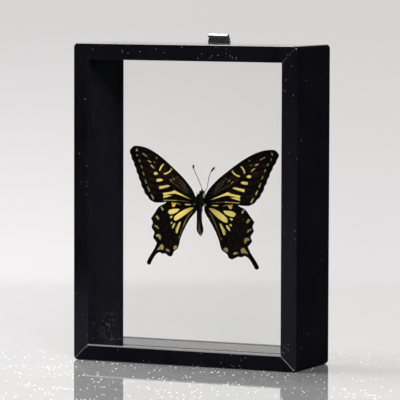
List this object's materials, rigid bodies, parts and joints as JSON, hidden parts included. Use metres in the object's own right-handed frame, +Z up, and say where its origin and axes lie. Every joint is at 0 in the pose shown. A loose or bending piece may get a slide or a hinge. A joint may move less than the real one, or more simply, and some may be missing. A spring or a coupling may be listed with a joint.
{
  "type": "framed butterfly specimen",
  "caption": "Deep black frame that stands upright, with a spread swallowtail butterfly floating between two panes of clear glass.",
  "frame": {"origin": "centre of the frame's flat bottom face, midway between its front and back faces", "axes": "+Z up the frame, -Y out of its front, +X to the right of someone who looks at the front"},
  "size_m": [0.134, 0.0474, 0.1798],
  "materials": {
    "black_lacquered_wood": "smooth black lacquer, semi-gloss",
    "clear_glass": "clear float glass, polished",
    "forewing_scales": "matt black-brown scales with pale yellow bars and spots",
    "hindwing_scales": "matt black scales with pale yellow patches and dull lunules",
    "body_hair_and_shell": "dry chitin with short dark hair",
    "clear_acrylic": "clear cast acrylic, polished",
    "hanger_steel": "bright zinc-plated steel sheet",
    "screw_steel": "zinc-plated steel"
  },
  "bodies": {
    "root": {"rail-bottom": "black_lacquered_wood", "rail-top": "black_lacquered_wood", "rail-left": "black_lacquered_wood", "rail-right": "black_lacquered_wood", "glass-front": "clear_glass", "glass-back": "clear_glass", "forewing-left": "forewing_scales", "forewing-right": "forewing_scales", "hindwing-left": "hindwing_scales", "hindwing-right": "hindwing_scales", "body": "body_hair_and_shell", "post": "clear_acrylic", "hanger": "hanger_steel", "hanger-screw-left": "screw_steel", "hanger-screw-right": "screw_steel"}
  },
  "joints": []
}
